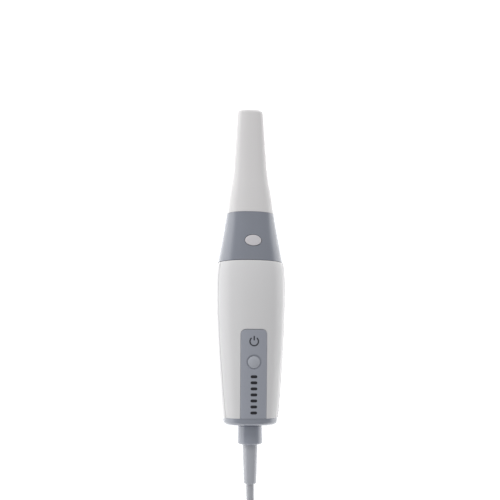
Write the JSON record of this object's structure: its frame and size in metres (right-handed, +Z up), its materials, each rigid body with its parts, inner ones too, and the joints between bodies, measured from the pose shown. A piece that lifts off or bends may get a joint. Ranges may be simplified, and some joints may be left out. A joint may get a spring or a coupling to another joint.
{
  "type": "intraoral scanner",
  "caption": "Handheld intraoral 3-D scanner wand with a pull-off mirror tip, scan and mode buttons, and a detachable lead folded in a tied hank.",
  "frame": {"origin": "middle of the wand's length and width, on the surface it lies on, under its belly", "axes": "+Y along the wand towards the tip, +X to the right seen from above with the tip away, +Z up, buttons upwards"},
  "size_m": [0.066, 0.4673, 0.0448],
  "materials": {
    "white_shell": "satin moulded",
    "grey_trim": "satin moulded",
    "button_grey": "satin",
    "nose_metal": "black anodised",
    "chassis_metal": "milled",
    "optical_glass": "coated",
    "mirror_face": "silvered",
    "module_black": "matt",
    "board_green": "solder resist",
    "steel": "bright",
    "contact_gold": "gold plated",
    "seal_rubber": "matt",
    "relief_rubber": "matt",
    "cable_jacket": "satin",
    "tie_fabric": "woven"
  },
  "bodies": {
    "handpiece": {"nose_tube": "nose_metal", "front_glass": "optical_glass", "nose_seal": "seal_rubber", "lens_barrel": "nose_metal", "relay_lenses": "optical_glass", "prism_block": "optical_glass", "projector_module": "module_black", "camera_module": "module_black", "front_collar": "grey_trim", "scan_switch": "steel", "lower_shell": "white_shell", "upper_shell": "white_shell", "control_panel": "grey_trim", "mode_switch": "steel", "chassis": "chassis_metal", "board_screws": "steel", "cap_screws": "steel", "main_board": "board_green", "processor": "module_black", "heat_spreader": "chassis_metal", "button_board": "board_green", "board_spacers": "steel", "board_ribbon": "module_black", "end_cap": "grey_trim", "receptacle": "grey_trim", "receptacle_nut": "steel", "contact_insulator": "module_black", "contact_pins": "contact_gold"},
    "tip": {"tip_sleeve": "white_shell", "tip_mirror": "mirror_face"},
    "scan_key": {"scan_button": "button_grey", "scan_plunger": "module_black"},
    "mode_key": {"mode_button": "grey_trim", "mode_plunger": "module_black"},
    "lead": {"plug_body": "grey_trim", "plug_insert": "module_black", "strain_relief": "relief_rubber", "cable": "cable_jacket", "cable_hank": "cable_jacket", "hank_tie": "tie_fabric", "cable_tail": "cable_jacket", "usb_relief": "relief_rubber", "usb_grip": "relief_rubber", "usb_shell": "steel", "usb_tongue": "module_black"}
  },
  "joints": [
    {"name": "tip_slide", "type": "slide", "parent": "handpiece", "child": "tip", "axis": [0, 1, 0], "range_m": [0, 0.06]},
    {"name": "scan_button_press", "type": "slide", "parent": "handpiece", "child": "scan_key", "axis": [0, 0, -1], "range_m": [0, 0.0008], "stiffness_N_per_m": 1500},
    {"name": "mode_button_press", "type": "slide", "parent": "handpiece", "child": "mode_key", "axis": [0, 0, -1], "range_m": [0, 0.0008], "stiffness_N_per_m": 1500},
    {"name": "plug_pull", "type": "slide", "parent": "handpiece", "child": "lead", "axis": [0, -1, 0], "range_m": [0, 0.012]}
  ]
}
